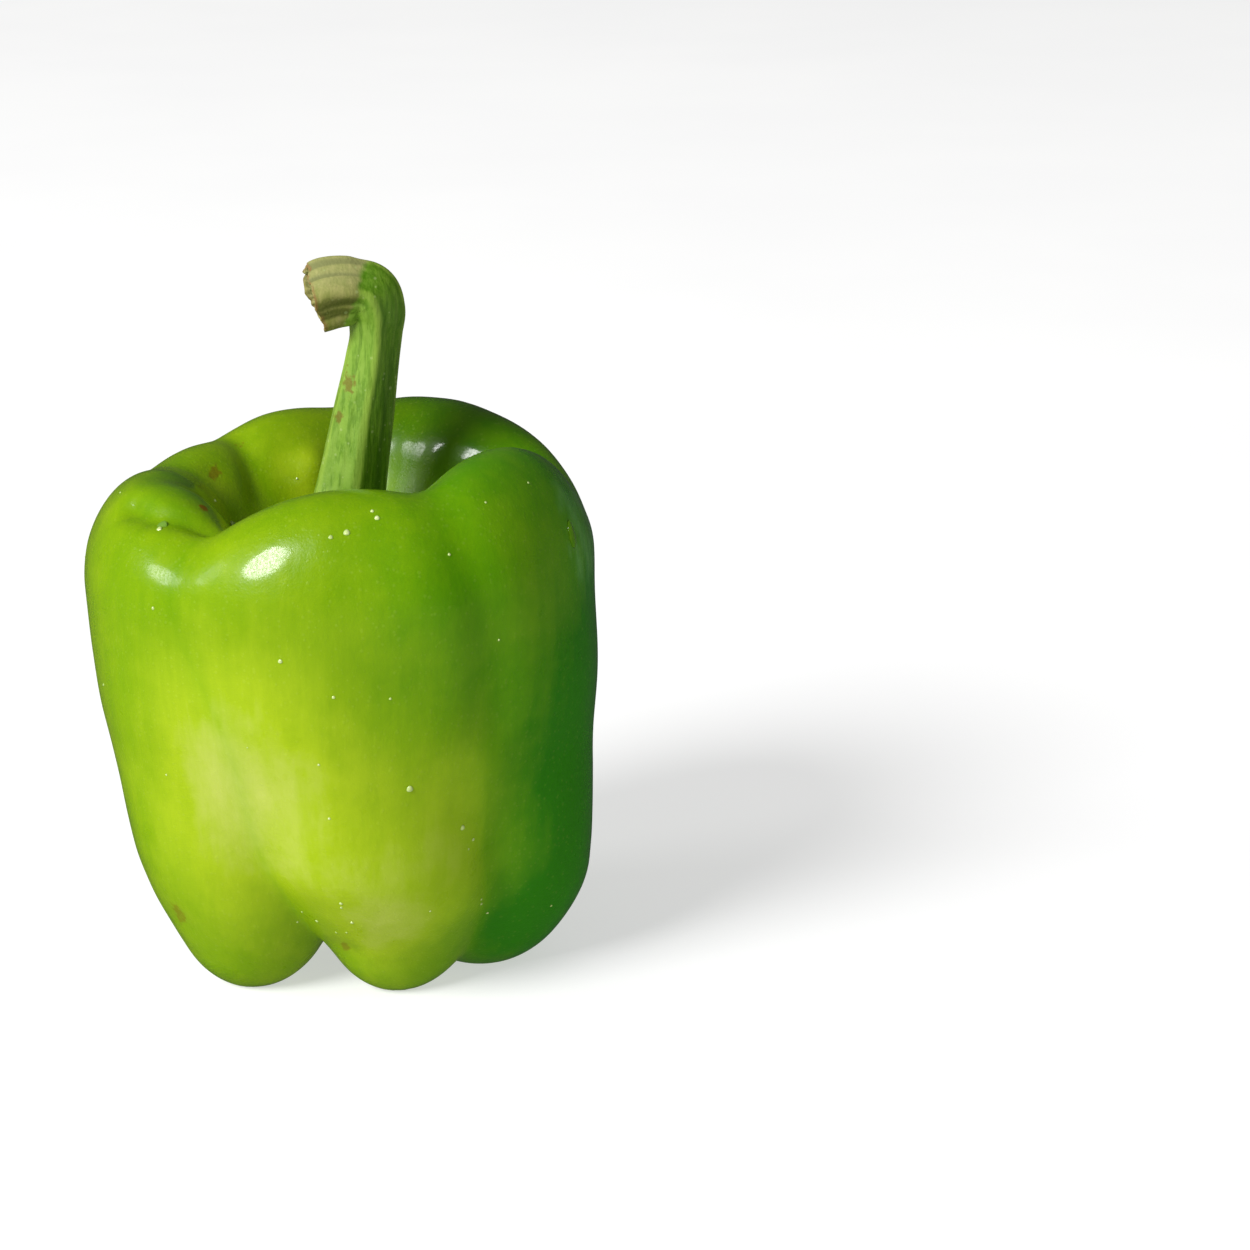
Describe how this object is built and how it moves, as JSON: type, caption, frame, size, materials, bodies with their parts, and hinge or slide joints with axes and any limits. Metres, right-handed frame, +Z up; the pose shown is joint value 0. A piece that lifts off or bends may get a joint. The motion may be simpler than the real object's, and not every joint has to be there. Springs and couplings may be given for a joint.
{
  "type": "bell pepper",
  "caption": "Green bell pepper standing on its lobe tips: a waxy lobed fruit with a deep stem well, a pointed calyx and a ribbed stem that hooks over to one side.",
  "frame": {"origin": "on the surface that the pepper stands on, under the middle of its box", "axes": "+Z up along the stem's rise, -Y towards the front lobe, +X to the right as seen from the front"},
  "size_m": [0.0836, 0.085, 0.1201],
  "materials": {
    "fruit_skin": "waxy, glossy green skin",
    "calyx_skin": "dull, wrinkled dark green",
    "stem_skin": "satin, ribbed green"
  },
  "bodies": {
    "root": {"fruit": "fruit_skin", "calyx": "calyx_skin", "stem": "stem_skin"}
  },
  "joints": []
}
